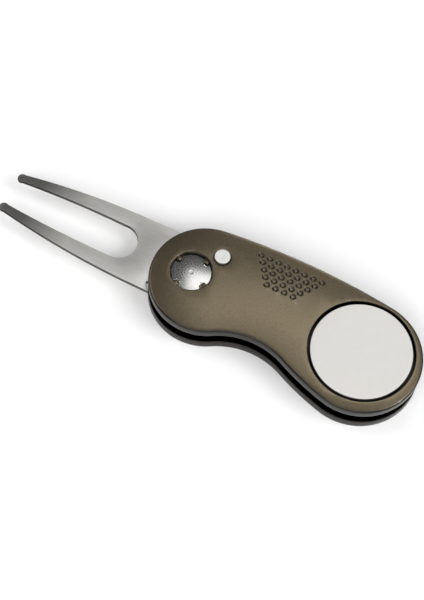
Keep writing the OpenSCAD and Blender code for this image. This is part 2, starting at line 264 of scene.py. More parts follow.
class Shape:
    """Points and faces gathered in millimetres, welded when the object is made."""

    def __init__(self):
        self.points = []
        self.faces = []

    def ring(self, plan, height):
        """Adds a ring of points at one height, or at a height for each point."""
        start = len(self.points)
        heights = np.broadcast_to(height, (len(plan),))
        self.points += [(p[0], p[1], h) for p, h in zip(plan, heights)]
        return list(range(start, len(self.points)))

    def strip(self, one, other):
        """Joins two rings of the same count."""
        count = len(one)
        for i in range(count):
            n = (i + 1) % count
            self.faces.append((one[i], one[n], other[n], other[i]))

    def tube(self, rings):
        """Joins each ring to the next, and returns the last."""
        added = [self.ring(plan, height) for plan, height in rings]
        for one, other in zip(added, added[1:]):
            self.strip(one, other)
        return added[-1]

    def turned(self, centre, profile, steps):
        """A surface turned about a vertical axis from (radius, height) pairs; radius 0 closes it."""
        last = None
        for radius, height in profile:
            if radius == 0:
                hub = len(self.points)
                self.points.append((centre[0], centre[1], float(np.mean(height))))
                if last is None:
                    last = hub
                    continue
                self.faces += [(last[i], last[(i + 1) % steps], hub) for i in range(steps)]
                return
            ring = self.ring(circle(centre, radius, steps), height)
            if isinstance(last, int):
                self.faces += [(ring[i], ring[(i + 1) % steps], last) for i in range(steps)]
            elif last is not None:
                self.strip(last, ring)
            last = ring

    def sheet(self, outer, holes, height, rings=(), loose=()):
        """A triangulated sheet inside outer and outside holes, at height(points) or one height."""
        loops = [outer, *holes, *rings]
        plan = np.concatenate([*loops, np.array(loose).reshape(-1, 2)])
        edges, start = [], 0
        for loop in loops:
            count = len(loop)
            edges += [(start + i, start + (i + 1) % count) for i in range(count)]
            start += count
        made = delaunay_2d_cdt([Vector(p) for p in plan], edges, [], 0, 1e-6)
        flat = np.array([tuple(v) for v in made[0]])
        faces = np.array(made[2])
        middle = flat[faces].mean(axis=1)
        kept = inside(middle, outer)
        for hole in holes:
            kept &= ~inside(middle, hole)
        start = len(self.points)
        heights = height(flat) if callable(height) else np.full(len(flat), height)
        self.points += [(p[0], p[1], h) for p, h in zip(flat, heights)]
        self.faces += [tuple(int(start + i) for i in face) for face in faces[kept]]

    def wire(self, path, radius, sides=12):
        """A round wire along a path of points, with a small bevel at both ends."""
        along = np.gradient(path, axis=0)
        along /= np.linalg.norm(along, axis=1)[:, None]
        bevel = 0.25 * radius
        path = np.concatenate([[path[0] - along[0] * bevel], path, [path[-1] + along[-1] * bevel]])
        along = np.concatenate([along[:1], along, along[-1:]])
        sizes = np.full(len(path), radius)
        sizes[[0, -1]] = radius - bevel
        turns = np.arange(sides)[:, None] * 2 * math.pi / sides
        side = np.array([0.0, 0.0, 1.0]) if abs(along[0][2]) < 0.9 else np.array([1.0, 0.0, 0.0])
        rings = []
        for point, ray, size in zip(path, along, sizes):
            side = unit(side - ray * (side @ ray))
            ring = point + size * (np.cos(turns) * side + np.sin(turns) * np.cross(ray, side))
            rings.append(self.ring(ring[:, :2], ring[:, 2]))
        for one, other in zip(rings, rings[1:]):
            self.strip(one, other)
        self.faces += [tuple(rings[0]), tuple(rings[-1])]


def helix(centre, radius, low, high, turns, first):
    """Points of a helix that climbs from low to high, starting at the angle first."""
    share = np.linspace(0, 1, int(turns * 36) + 1)
    angles = first + share * turns * 2 * math.pi
    across = centre[0] + radius * np.cos(angles)
    along = centre[1] + radius * np.sin(angles)
    return np.stack([across, along, low + share * (high - low)], axis=1)


def arc_profile(depth, steps, first=0.0):
    """Pairs (set back, drop) along a quarter round of that depth, from the face to the wall."""
    turns = [first + (math.pi / 2 - first) * i / steps for i in range(steps + 1)]
    reach = depth / (1 - math.sin(first))
    return [
        (reach * (1 - math.sin(t)), reach * (math.cos(first) - math.cos(t))) for t in turns
    ]


def finish_piece(name, shape, material, body, nodes, sharp=38):
    """Makes the object, hangs it on the empty of the body it rides on, and hides the CAD nodes it stands for.
    """
    mesh = bpy.data.meshes.new(name)
    mesh.from_pydata([tuple(c * MM for c in p) for p in shape.points], [], shape.faces)
    soup = bmesh.new()
    soup.from_mesh(mesh)
    bmesh.ops.remove_doubles(soup, verts=soup.verts, dist=2e-6)
    bmesh.ops.dissolve_degenerate(soup, dist=1e-7, edges=soup.edges)
    loose = [v for v in soup.verts if not v.link_faces]
    bmesh.ops.delete(soup, geom=loose, context="VERTS")
    bmesh.ops.recalc_face_normals(soup, faces=soup.faces)
    soup.to_mesh(mesh)
    soup.free()
    mesh.shade_smooth()
    mesh.set_sharp_from_angle(angle=math.radians(sharp))
    piece = bpy.data.objects.new(name, mesh)
    bpy.context.scene.collection.objects.link(piece)
    mesh.materials.append(material)
    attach(piece, body)
    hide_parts(*nodes)
    return piece


# ---------------------------------------------------------------- materials


def new_material(name):
    material = bpy.data.materials.new(name)
    material.use_nodes = True
    tree = material.node_tree
    tree.nodes.clear()
    output = tree.nodes.new("ShaderNodeOutputMaterial")
    shader = tree.nodes.new("ShaderNodeBsdfPrincipled")
    tree.links.new(shader.outputs["BSDF"], output.inputs["Surface"])
    return material, tree, shader


def add_node(tree, kind, **settings):
    """A node with its inputs or properties set by name; a node socket as a value is linked."""
    node = tree.nodes.new(kind)
    for key, value in settings.items():
        name = key.replace("_", " ")
        if hasattr(node, key):
            setattr(node, key, value)
        elif isinstance(value, bpy.types.NodeSocket):
            tree.links.new(value, node.inputs[name])
        else:
            node.inputs[name].default_value = value
    return node


def object_coordinates(tree, scale):
    """Object coordinates stretched by scale, in cells per metre along each axis."""
    place = add_node(tree, "ShaderNodeTexCoord")
    mapping = add_node(tree, "ShaderNodeMapping")
    mapping.inputs["Scale"].default_value = scale
    tree.links.new(place.outputs["Object"], mapping.inputs["Vector"])
    return mapping.outputs["Vector"]


def noise(tree, scale, detail=2.0, roughness=0.5):
    """Noise with that many cells per metre along each axis."""
    node = add_node(tree, "ShaderNodeTexNoise", Scale=1.0, Detail=detail, Roughness=roughness)
    tree.links.new(object_coordinates(tree, scale), node.inputs["Vector"])
    return node.outputs["Fac"]


def turned_lines(tree, scale):
    """Noise that only changes with the distance from the pivot axis, for lathe lines."""
    place = add_node(tree, "ShaderNodeTexCoord")
    flat = add_node(tree, "ShaderNodeVectorMath", operation="MULTIPLY")
    flat.inputs[1].default_value = (1.0, 1.0, 0.0)
    tree.links.new(place.outputs["Object"], flat.inputs[0])
    reach = add_node(tree, "ShaderNodeVectorMath", operation="LENGTH")
    tree.links.new(flat.outputs["Vector"], reach.inputs[0])
    node = add_node(tree, "ShaderNodeTexNoise", noise_dimensions="1D", Scale=scale, Detail=2.0)
    tree.links.new(reach.outputs["Value"], node.inputs["W"])
    return node.outputs["Fac"]


def remap(tree, value, low, high, to_low, to_high):
    node = add_node(tree, "ShaderNodeMapRange")
    for key, number in (("From Min", low), ("From Max", high), ("To Min", to_low), ("To Max", to_high)):
        node.inputs[key].default_value = number
    tree.links.new(value, node.inputs["Value"])
    return node.outputs["Result"]


def mix_colours(tree, factor, one, other, blend="MIX"):
    node = tree.nodes.new("ShaderNodeMix")
    node.data_type = "RGBA"
    node.blend_type = blend
    sockets = {s.identifier: s for s in node.inputs}
    for socket, value in (
        (sockets["Factor_Float"], factor),
        (sockets["A_Color"], one),
        (sockets["B_Color"], other),
    ):
        if isinstance(value, bpy.types.NodeSocket):
            tree.links.new(value, socket)
        elif isinstance(value, float):
            socket.default_value = value
        else:
            socket.default_value = (*value, 1.0)
    return next(s for s in node.outputs if s.identifier == "Result_Color")


def bump(tree, height, strength, depth, under=None):
    """Bump of that depth in metres, over an earlier bump if there is one."""
    node = add_node(tree, "ShaderNodeBump", Strength=strength, Distance=depth)
    tree.links.new(height, node.inputs["Height"])
    if under is not None:
        tree.links.new(under, node.inputs["Normal"])
    return node.outputs["Normal"]


def level_mask(tree, bands):
    """1 where the surface is level, in bands of (side up or down, lowest z, highest z) in metres."""
    place = add_node(tree, "ShaderNodeTexCoord")
    parts = []
    for output in ("Normal", "Object"):
        split = add_node(tree, "ShaderNodeSeparateXYZ")
        tree.links.new(place.outputs[output], split.inputs[0])
        parts.append(split.outputs["Z"])
    total = None
    soft = 0.0003
    for side, low, high in bands:
        level = remap(tree, parts[0], 0.88 * side, 0.98 * side, 0.0, 1.0)
        above = remap(tree, parts[1], low - soft, low, 0.0, 1.0)
        below = remap(tree, parts[1], high, high + soft, 1.0, 0.0)
        for factor in (above, below):
            both = add_node(tree, "ShaderNodeMath", operation="MULTIPLY")
            tree.links.new(level, both.inputs[0])
            tree.links.new(factor, both.inputs[1])
            level = both.outputs[0]
        if total is not None:
            either = add_node(tree, "ShaderNodeMath", operation="MAXIMUM")
            tree.links.new(total, either.inputs[0])
            tree.links.new(level, either.inputs[1])
            level = either.outputs[0]
        total = level
    return total


def edge_wear(tree, low, high):
    """1 on worn outer edges and 0 elsewhere."""
    geometry = add_node(tree, "ShaderNodeNewGeometry")
    return remap(tree, geometry.outputs["Pointiness"], low, high, 0.0, 1.0)


def painted_shade_along_x(tree, tone, start, end, share):
    """Painted shade: the colour as it is up to start and darkened to that share at end, along the object's X.
    """
    place = add_node(tree, "ShaderNodeTexCoord")
    split = add_node(tree, "ShaderNodeSeparateXYZ")
    tree.links.new(place.outputs["Object"], split.inputs[0])
    along = remap(tree, split.outputs["X"], end, start, 0.0, 1.0)
    shade = mix_colours(tree, along, (share,) * 3, (1.0,) * 3)
    return mix_colours(tree, 1.0, tone, shade, "MULTIPLY")


def worn_edges(tree, tone, wear, worn):
    """The colour with broken patches of the worn colour along outer edges."""
    breakup = noise(tree, (1500, 1500, 1500), 3.0)
    amount = add_node(tree, "ShaderNodeMath", operation="MULTIPLY")
    tree.links.new(edge_wear(tree, 0.52, 0.6), amount.inputs[0])
    tree.links.new(remap(tree, breakup, 0.4, 0.65, 0.0, wear), amount.inputs[1])
    return mix_colours(tree, amount.outputs[0], tone, worn)


def metal(
    name, colour, dark, roughness, grain, grain_depth,
    mottle_scale=(420, 420, 420), wear=0.0, worn=(0.6, 0.58, 0.54),
    sides=None, bands=((1, -1, 1), (-1, -1, 1)), inner=None, painted_tip_shade=None,
    tangent=None, turned=False, metallic=1.0, **sockets,
):
    """Metal mottled between two colours, with uneven roughness and a grain of that depth in metres.

    wear: strength of the worn colour on edges. sides: a darker colour painted as shade on all that isn't
    level within bands.
    inner: other level bands and a near-black colour painted on them as shade. turned: the grain runs in rings
    about the pivot.
    tip: painted shade along X: X where it starts, X where it ends, and the share of the colour left there.
    tangent: direction in the object's own axes that the stretched highlight is tied to.
    """
    material, tree, shader = new_material(name)
    mottle = noise(tree, mottle_scale, 3.0)
    tone = mix_colours(tree, remap(tree, mottle, 0.3, 0.7, 0.0, 1.0), dark, colour)
    fine = turned_lines(tree, grain[0]) if turned else noise(tree, grain, 3.0, 0.6)
    # Painted shade: all that isn't level within bands takes the darker sides colour
    if sides is not None:
        tone = mix_colours(tree, level_mask(tree, bands), sides, tone)
    # Painted shade that darkens the colour along X
    if painted_tip_shade is not None:
        tone = painted_shade_along_x(tree, tone, *painted_tip_shade)
    if tangent is not None:
        lay = add_node(tree, "ShaderNodeVectorTransform", vector_type="VECTOR")
        lay.convert_from, lay.convert_to = "OBJECT", "WORLD"
        lay.inputs["Vector"].default_value = tangent
        tree.links.new(lay.outputs["Vector"], shader.inputs["Tangent"])
    if wear:
        tone = worn_edges(tree, tone, wear, worn)
    # Painted shade: the level faces inside the slot between the shells turn near black
    if inner is not None:
        tone = mix_colours(tree, level_mask(tree, inner[0]), tone, inner[1])
    tree.links.new(tone, shader.inputs["Base Color"])
    low, high = roughness
    tree.links.new(remap(tree, fine, 0.3, 0.7, low, high), shader.inputs["Roughness"])
    tree.links.new(bump(tree, fine, 1.0, grain_depth), shader.inputs["Normal"])
    shader.inputs["Metallic"].default_value = metallic
    for key, value in sockets.items():
        shader.inputs[key.replace("_", " ")].default_value = value
    return material


def plain_plastic(name, colour, roughness=0.45, grain_depth=0.000004, specular=0.5):
    """Moulded plastic with a fine grain."""
    material, tree, shader = new_material(name)
    fine = noise(tree, (3000, 3000, 3000), 3.0)
    tone = mix_colours(tree, fine, tuple(0.9 * c for c in colour), colour)
    tree.links.new(tone, shader.inputs["Base Color"])
    uneven = remap(tree, fine, 0.3, 0.7, roughness - 0.07, roughness + 0.07)
    tree.links.new(uneven, shader.inputs["Roughness"])
    tree.links.new(bump(tree, fine, 1.0, grain_depth), shader.inputs["Normal"])
    shader.inputs["Specular IOR Level"].default_value = specular
    return material


def make_materials():
    """One material for each slot of the record."""
    bronze = metal(
        "bronze_anodised", (0.288, 0.238, 0.158), (0.225, 0.185, 0.122), (0.27, 0.37),
        (5200, 5200, 5200), 0.0000025, mottle_scale=(2600, 2600, 2600), wear=0.2,
        # sides: painted shade, dark on the walls, rounded edges, pocket walls and dimple walls; the face and
        # the back keep the bronze
        sides=(0.029, 0.026, 0.023),
        bands=((1, 0.0078, 1), (-1, -1, 0.0012)),
        # inner: painted shade, near black on the back shell's top and the front shell's underside inside the
        # slot
        inner=(((1, 0.002, 0.0035), (-1, 0.0055, 0.007)), (0.003, 0.003, 0.003)),
    )
    return {
        "bronze_anodised": bronze,
        "black_plastic": plain_plastic("black_plastic", (0.006, 0.006, 0.0062), 0.6, 0.000002, 0.12),
        "brushed_blade": metal(
            "brushed_blade", (0.86, 0.845, 0.81), (0.77, 0.755, 0.72), (0.4, 0.54),
            # sides: slightly darker sheared edges, made darker still by painted shade on the side walls
            (260, 9000, 9000), 0.0000012, mottle_scale=(200, 5000, 5000), sides=(0.1, 0.095, 0.09),
            # painted shade that darkens the prongs towards their tips
            painted_tip_shade=(-0.032, -0.045, 0.3), tangent=(0.0, 1.0, 0.0),
            Anisotropic=0.9,
        ),
        "bushing_bronze": metal(
            "bushing_bronze", (0.62, 0.40, 0.18), (0.5, 0.32, 0.14), (0.25, 0.4),
            (1500, 1500, 9000), 0.000001,
        ),
        "spring_wire": metal(
            "spring_wire", (0.56, 0.56, 0.57), (0.48, 0.48, 0.49), (0.2, 0.35),
            (3000, 3000, 3000), 0.000001,
        ),
        "pin_steel": metal(
            "pin_steel", (0.58, 0.58, 0.59), (0.52, 0.52, 0.53), (0.2, 0.35),
            (2000, 2000, 9000), 0.000001,
        ),
        "turned_cap": metal(
            "turned_cap", (0.74, 0.73, 0.71), (0.7, 0.69, 0.67), (0.18, 0.23),
            (6000, 6000, 6000), 0.0000004, turned=True,
        ),
        "satin_button": metal(
            "satin_button", (0.8, 0.795, 0.77), (0.785, 0.78, 0.755), (0.4, 0.5),
            # sides: painted shade, dark on the button's side wall and rim
            (6000, 6000, 6000), 0.000002, sides=(0.08, 0.078, 0.075), metallic=0.5,
        ),
        "magnet_nickel": metal(
            "magnet_nickel", (0.6, 0.59, 0.57), (0.5, 0.49, 0.48), (0.15, 0.3),
            (2500, 2500, 2500), 0.000001,
        ),
        "satin_marker": metal(
            "satin_marker", (0.7, 0.685, 0.655), (0.685, 0.67, 0.64), (0.5, 0.58),
            # sides: painted shade, dark on the marker's rounded edge and side wall
            (7000, 7000, 7000), 0.000002, sides=(0.06, 0.058, 0.055), metallic=0.4,
        ),
        "black_screw": metal(
            "black_screw", (0.07, 0.07, 0.072), (0.05, 0.05, 0.052), (0.3, 0.45),
            (4000, 4000, 4000), 0.000002, wear=0.5, worn=(0.3, 0.3, 0.3),
        ),
        "washer_plastic": plain_plastic("washer_plastic", (0.75, 0.74, 0.7)),
    }


# ---------------------------------------------------------------- pieces


def dimple_centres():
    """Centres of the dimples, in rows that each hold one fewer than the row before."""
    return [
        np.array([DIMPLE_FIRST[0] + (i + row / 2) * DIMPLE_PITCH, DIMPLE_FIRST[1] - row * DIMPLE_ROW_PITCH])
        for row in range(DIMPLE_ROWS)
        for i in range(DIMPLE_ROW - row)
    ]


def face_height(points, edge, face_z):
    """Height of the crowned face with its dimples at many points."""
    inward = np.clip(distance(points, edge) / CROWN_WIDTH, 0, 1)
    height = face_z - CROWN_DROP * (1 - inward) ** 2
    for centre in dimple_centres():
        reach = np.linalg.norm(points - centre, axis=1)
        share = np.clip((DIMPLE_RIM_R - reach) / (DIMPLE_RIM_R - DIMPLE_FLOOR_R), 0, 1)
        height -= DIMPLE_DEPTH * share * share * (3 - 2 * share)
    return height


def crown_points(arcs, edge, avoid):
    """Points over the face that carry the crown, clear of the loops in avoid."""
    plan = [outline(arcs, inset)[::2] for inset in CROWN_INSETS]
    across, along = np.arange(-12, 63, CROWN_GRID), np.arange(-17, 17, CROWN_GRID)
    grid = np.stack(np.meshgrid(across, along), axis=-1).reshape(-1, 2)
    grid = grid[inside(grid, edge)]
    plan.append(grid[distance(grid, edge) > CROWN_WIDTH])
    points = np.concatenate(plan)
    for loop in avoid:
        far = distance(points, loop) > 0.3
        points = points[far & ~inside(points, loop)]
    return points


def make_front_shell(arcs, material):
    """Crowned face with dimples and three openings, over bores, bosses and the cap's lugs."""
    shape = Shape()
    face_z = mm_box("front_shell")[1][2] + CROWN_RISE
    under_z = mm_box("spine_spacer")[1][2]
    marker, pivot, button = centre_of("ball_marker"), np.zeros(2), centre_of("push_button")
    marker_floor = mm_box("ball_marker")[0][2] - LOOSE_GAP
    pivot_floor = mm_box("pivot_cap")[1][2] - CAP_T
    magnet_z = mm_box("marker_magnet")[0][2] - TIGHT_GAP
    edge = outline(arcs, 0)

    def height(points):
        return face_height(points, edge, face_z)

    openings = [
        (marker, MARKER_POCKET_R, MARKER_LIP, marker_floor, 192),
        (pivot, PIVOT_POCKET_R, PIVOT_LIP, pivot_floor, 128),
        (button, BUTTON_BORE_R, BUTTON_LIP, under_z, 72),
    ]
    holes = [circle(c, r + lip, steps) for c, r, lip, _, steps in openings]
    pits = [circle(c, r, 24) for c in dimple_centres() for r in DIMPLE_RINGS]
    pit_rims = [circle(c, DIMPLE_RINGS[-1], 24) for c in dimple_centres()]
    loose = np.concatenate([crown_points(arcs, edge, holes + pit_rims), dimple_centres()])
    shape.sheet(outline(arcs, FACE_ROUND), holes, height, pits, loose)

    # Rim: a quarter round that carries on from the crown, the wall, and a small lower round
    inward = 1 - FACE_ROUND / CROWN_WIDTH
    rim_z = face_z - CROWN_DROP * inward**2
    slope = math.atan(2 * CROWN_DROP / CROWN_WIDTH * inward)
    rim = [(outline(arcs, back), rim_z - drop) for back, drop in arc_profile(FACE_ROUND, 8, slope)]
    low = [(outline(arcs, back), under_z + drop) for back, drop in arc_profile(LOWER_ROUND, 4)]
    shape.tube(rim + low[::-1])

    # Lips of the openings follow the crown, and their walls go down to the floors
    for c, r, lip, opening_floor, steps in openings:
        top = height(circle(c, r + lip, steps))
        rings = [(circle(c, r + back, steps), top - drop) for back, drop in arc_profile(lip, 6)]
        shape.tube(rings + [(circle(c, r, steps), opening_floor)])
    shape.turned(
        marker,
        [(MARKER_POCKET_R, marker_floor), (MAGNET_POCKET_R + 0.1, marker_floor),
         (MAGNET_POCKET_R, marker_floor - 0.1), (MAGNET_POCKET_R, magnet_z), (0, magnet_z)],
        192,
    )
    shape.turned(pivot, [(PIVOT_POCKET_R, pivot_floor), (POST_R, pivot_floor), (POST_R, under_z)], 128)
    add_underside(shape, arcs, under_z, magnet_z)
    add_lugs(shape, pivot_floor)
    return finish_piece("front_shell_body", shape, material, "handle", ["front_shell"])


def add_underside(shape, arcs, under_z, magnet_z):
    """Underside of the front shell, with the bores for the hardware and the two bosses."""
    marker, pivot, button = centre_of("ball_marker"), np.zeros(2), centre_of("push_button")
    boss_z = mm_box("spine_spacer")[0][2] + LOOSE_GAP
    bosses = [
        (marker, MAGNET_BOSS_R, magnet_z - 0.4, 96),
        (centre_of("casing_screw_3"), END_BOSS_R, boss_z, 48),
    ]
    blind = [(centre_of(f"casing_screw_{i}"), SCREW_R + LOOSE_GAP, SCREW_BORE_DEPTH, 32) for i in (1, 2)]
    blind += [(centre_of(f"locating_pin_{i}"), PIN_R + TIGHT_GAP, PIN_BORE_DEPTH, 32) for i in (1, 2)]
    blind += [(centre_of("stop_pin"), STOP_R + TIGHT_GAP, STOP_BORE_DEPTH, 32)]
    below = [circle(c, r, steps) for c, r, _, steps in bosses + blind]
    below += [circle(button, BUTTON_BORE_R, 72), circle(pivot, POST_R, 128)]
    shape.sheet(outline(arcs, LOWER_ROUND), below, under_z)
    for c, r, depth, steps in blind:
        shape.turned(c, [(r, under_z), (r, under_z + depth), (0, under_z + depth)], steps)
    for c, r, z, steps in bosses:
        shape.turned(c, [(r, under_z), (r, z + BOSS_EDGE), (r - BOSS_EDGE, z), (0, z)], steps)


def add_lugs(shape, pocket_floor):
    """Lugs that stand in the notches of the pivot cap."""
    lug_top = pocket_floor + CAP_T
    for turn in NOTCH_TURNS:
        c = NOTCH_REACH * np.array([math.cos(turn), math.sin(turn)])
        profile = [(0, pocket_floor - LUG_ROUND), (LUG_R, pocket_floor - LUG_ROUND)]
        profile += [(LUG_R, lug_top - LUG_ROUND), (LUG_R - 0.06, lug_top - 0.06)]
        profile += [(LUG_R - LUG_ROUND, lug_top), (0, lug_top)]
        shape.turned(c, profile, 32)


def make_back_shell(arcs, material):
    """Flat back with sunk screw seats, over the spring's groove and the button's well."""
    shape = Shape()
    low, high = mm_box("back_shell")
    floor_z, top_z = low[2], high[2]
    pivot, button = np.zeros(2), centre_of("push_button")
    screws = [centre_of(f"casing_screw_{i}") for i in (1, 2, 3)]
    pins = [centre_of("locating_pin_1"), centre_of("locating_pin_2")]

    lower = [(outline(arcs, back), floor_z + drop) for back, drop in arc_profile(BACK_ROUND, 8)]
    upper = [(outline(arcs, back), top_z - drop) for back, drop in arc_profile(LOWER_ROUND, 4)]
    shape.tube(lower + upper[::-1])

    sink_r = SCREW_HEAD_R + SINK_GAP
    bore_r = SCREW_R + LOOSE_GAP
    shape.sheet(outline(arcs, BACK_ROUND), [circle(c, sink_r + SINK_LIP, 64) for c in screws], floor_z)
    for c in screws:
        rounded = [(sink_r + back, floor_z + drop) for back, drop in arc_profile(SINK_LIP, 4)]
        shape.turned(c, rounded + [(sink_r, SCREW_SEAT_Z), (bore_r, SCREW_NECK_Z), (bore_r, top_z)], 64)

    inner, outer = (circle(pivot, r, 96) for r in COIL_GROOVE)
    well = circle(button, BUTTON_WELL_R, 48)
    sockets = [(c, PIN_R + TIGHT_GAP) for c in pins] + [(centre_of("stop_pin"), STOP_R + TIGHT_GAP)]
    holes = [circle(c, bore_r, 64) for c in screws] + [circle(c, r, 32) for c, r in sockets]
    holes += [outer, well]
    shape.sheet(outline(arcs, LOWER_ROUND), holes, top_z)
    shape.tube([(outer, top_z), (outer, COIL_GROOVE_Z), (inner, COIL_GROOVE_Z), (inner, top_z)])
    post_hole = [(COIL_GROOVE[0], top_z), (POST_R, top_z), (POST_R, POST_FLOOR_Z), (0, POST_FLOOR_Z)]
    shape.turned(pivot, post_hole, 96)
    shape.turned(button, [(BUTTON_WELL_R, top_z), (BUTTON_WELL_R, BUTTON_WELL_Z), (0, BUTTON_WELL_Z)], 48)
    for c, r in sockets:
        shape.turned(c, [(r, top_z), (r, SOCKET_Z), (0, SOCKET_Z)], 32)
    return finish_piece("back_shell_body", shape, material, "handle", ["back_shell"])


def make_marker(material):
    shape = Shape()
    low, high = mm_box("ball_marker")
    centre = (low[:2] + high[:2]) / 2
    radius = (high[0] - low[0]) / 2
    profile = [(0, low[2])]
    profile += [(radius - back, low[2] + drop) for back, drop in arc_profile(MARKER_LOW_ROUND, 4)]
    profile += [(radius - back, high[2] - drop) for back, drop in arc_profile(MARKER_TOP_ROUND, 5)[::-1]]
    profile += [(radius - 0.6, high[2]), (0, high[2])]
    shape.turned(centre, profile, 192)
    return finish_piece("ball_marker_disc", shape, material, "marker", ["ball_marker"])


def make_button(material):
    shape = Shape()
    low, high = mm_box("push_button")
    centre = centre_of("push_button")
    under_z = mm_box("spine_spacer")[1][2] - FLANGE_GAP
    flange_z, seat_z = under_z - FLANGE_T, low[2] + GUIDE_HEIGHT
    profile = [(0, low[2]), (GUIDE_R, low[2]), (GUIDE_R, seat_z), (COLLAR_R, seat_z), (COLLAR_R, flange_z)]
    profile += [(FLANGE_R, flange_z), (FLANGE_R, under_z), (BUTTON_R, under_z)]
    profile += [(BUTTON_R - back, high[2] - drop) for back, drop in arc_profile(BUTTON_RIM, 6)[::-1]]
    profile += [(1.2, high[2])] + [(reach, high[2] - drop) for reach, drop in BUTTON_DENT]
    shape.turned(centre, profile, 72)
    return finish_piece("push_button_cap", shape, material, "button", ["push_button"])


def notched_circle(radius):
    """Outline of the pivot cap: a circle with four round notches."""
    reach = (radius**2 + NOTCH_REACH**2 - NOTCH_R**2) / (2 * radius * NOTCH_REACH)
    half = math.acos(reach)
    points = []
    for i, turn in enumerate(NOTCH_TURNS):
        centre = NOTCH_REACH * np.array([math.cos(turn), math.sin(turn)])
        corner = radius * np.array([math.cos(turn - half), math.sin(turn - half)]) - centre
        first = math.atan2(corner[1], corner[0])
        last = 2 * turn - first
        while last > first:
            last -= 2 * math.pi
        for k in range(19):
            angle = first + (last - first) * k / 18
            points.append(centre + NOTCH_R * np.array([math.cos(angle), math.sin(angle)]))
        run = math.pi / 2 - 2 * half
        for k in range(1, 24):
            angle = turn + half + run * k / 24
            points.append(radius * np.array([math.cos(angle), math.sin(angle)]))
    return np.array(points)


def make_cap(material):
    """Domed disc with faint turned ridges and a dent in its middle, on a short stem."""
    shape = Shape()
    low, high = mm_box("pivot_cap")
    top_z, floor_z = high[2], high[2] - CAP_T
    edge = notched_circle(CAP_R)

    def height(points):
        reach = np.linalg.norm(points, axis=1)
        back = np.clip(distance(points, edge) / CAP_RIM, 0, 1)
        drop = CAP_DOME * (reach / CAP_R) ** 2 + CAP_RIM * (1 - np.sqrt(1 - (1 - back) ** 2))
        wave = np.cos(reach * 2 * math.pi / RIDGE_PITCH)
        ridge = RIDGE_HEIGHT * wave * (reach > RIDGE_SPAN[0]) * (reach < RIDGE_SPAN[1])
        dent = DENT_DEPTH * np.clip(1 - reach / DENT_R, 0, 1) ** 0.5
        return top_z - drop + ridge - dent

    inner = NOTCH_REACH - NOTCH_R - 0.1
    rings = [circle((0, 0), r, 144) for r in np.arange(0.15, inner, 0.12)]
    reaches = (3.9, 4.05, 4.2, 4.35, 4.5, 4.65, 4.77, 4.87, 4.92, 4.96, 5.0, 5.03)
    outer = np.concatenate([circle((0, 0), r, 160) for r in reaches])
    near = np.concatenate([
        circle(NOTCH_REACH * np.array([math.cos(t), math.sin(t)]), NOTCH_R + gap, 48)
        for t in NOTCH_TURNS for gap in (0.03, 0.08, 0.16, 0.3)
    ])
    loose = np.concatenate([outer, near])
    loose = loose[inside(loose, edge)]
    loose = loose[distance(loose, edge) > 0.02]
    loose = loose[np.linalg.norm(loose, axis=1) > inner + 0.06]
    shape.sheet(edge, [], height, rings, loose)
    shape.tube([(edge, height(edge)), (edge, floor_z)])
    shape.sheet(edge, [circle((0, 0), STEM_R, 48)], floor_z)
    shape.turned((0, 0), [(STEM_R, floor_z), (STEM_R, low[2]), (0, low[2])], 48)
    return finish_piece("pivot_cap_disc", shape, material, "handle", ["pivot_cap"])


def make_fork_spring(material):
    """The coil and lower leg stay with the handle, and the upper leg turns with the fork."""
    low_z = mm_box("torsion_spring")[0][2] + COIL_WIRE
    first = LEG_TURN - COIL_TURNS * 2 * math.pi
    coil = helix((0, 0), COIL_R, low_z, COIL_TOP, COIL_TURNS, first)
    reaches = [(LOWER_LEG_REACH, 0.0), (5.8, 0.0), (5.1, 0.0), (4.7, 1.0), (4.5, 4.0)]
    turns = [first + math.radians(turn) for _, turn in reaches]
    leg = [(r * math.cos(t), r * math.sin(t), low_z) for (r, _), t in zip(reaches, turns)]
    shape = Shape()
    shape.wire(np.concatenate([leg, coil[1:]]), COIL_WIRE)
    finish_piece("fork_spring_coil", shape, material, "handle", ["torsion_spring"], 60)

    place = COIL_R * np.array([math.cos(LEG_TURN), math.sin(LEG_TURN)])
    top_z = mm_box("torsion_spring")[1][2] - 0.08
    shape = Shape()
    shape.wire(np.array([(*place, z) for z in (COIL_TOP, 4.0, 4.5, top_z)]), COIL_WIRE)
    finish_piece("fork_spring_leg", shape, material, "fork", [], 60)


def make_button_spring(material):
    """Coil under the button, given a mesh of its own."""
    low, high = mm_box("button_spring")
    shape = Shape()
    path = helix(centre_of("button_spring"), BUTTON_COIL_R, low[2] + BUTTON_WIRE, high[2] - BUTTON_WIRE, 3, 0)
    shape.wire(path, BUTTON_WIRE, 8)
    coil = finish_piece("button_spring_coil", shape, material, "handle", ["button_spring"], 60)
    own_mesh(coil)


def make_screw(index, material):
    """Countersunk screw with a hexagon socket in its head."""
    shape = Shape()
    node = f"casing_screw_{index}"
    low, high = mm_box(node)
    centre = centre_of(node)
    hexagon = circle(centre, HEX_R, 6)
    hexagon = np.concatenate([
        a + (b - a) * np.linspace(0, 1, 8, endpoint=False)[:, None]
        for a, b in zip(hexagon, np.roll(hexagon, -1, axis=0))
    ])
    soft = centre + (hexagon - centre) * 1.08
    shape.sheet(circle(centre, SCREW_HEAD_R - SCREW_RIM, 64), [soft], low[2])
    shape.tube([(soft, low[2]), (hexagon, low[2] + 0.06), (hexagon, HEX_FLOOR_Z)])
    shape.sheet(hexagon, [], HEX_FLOOR_Z)
    profile = [(SCREW_HEAD_R - back, low[2] + drop) for back, drop in arc_profile(SCREW_RIM, 4)]
    profile += [(SCREW_HEAD_R, SCREW_SEAT_Z), (SCREW_R, SCREW_NECK_Z), (SCREW_R, high[2]), (0, high[2])]
    shape.turned(centre, profile, 64)
    return finish_piece(f"{node}_detail", shape, material, "handle", [node])


